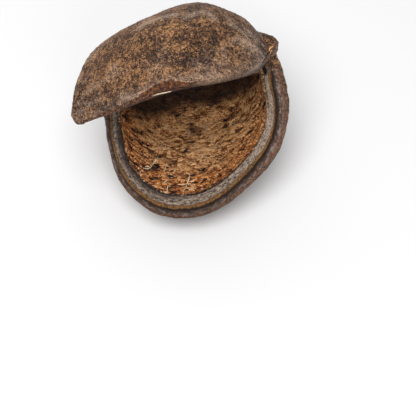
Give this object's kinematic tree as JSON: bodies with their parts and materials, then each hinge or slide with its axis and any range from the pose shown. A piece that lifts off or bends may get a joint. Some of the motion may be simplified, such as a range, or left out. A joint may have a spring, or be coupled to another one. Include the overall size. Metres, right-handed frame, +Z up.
{
  "type": "sterculia pod",
  "caption": "Open woody sterculia pod: a hollow bowl-shaped valve under a raised lid valve, with a layered rim, a stalk stub and a blunt beak.",
  "frame": {"origin": "middle of the pod's box, on the surface that it lies on", "axes": "+X from the beak to the stalk, +Y to the back of the pod, away from the mouth, +Z up"},
  "size_m": [0.1246, 0.1104, 0.1107],
  "materials": {
    "pod_wood": "dry, dark brown and speckled outside, warm fibrous brown inside"
  },
  "bodies": {
    "root": {"pod": "pod_wood"}
  },
  "joints": []
}
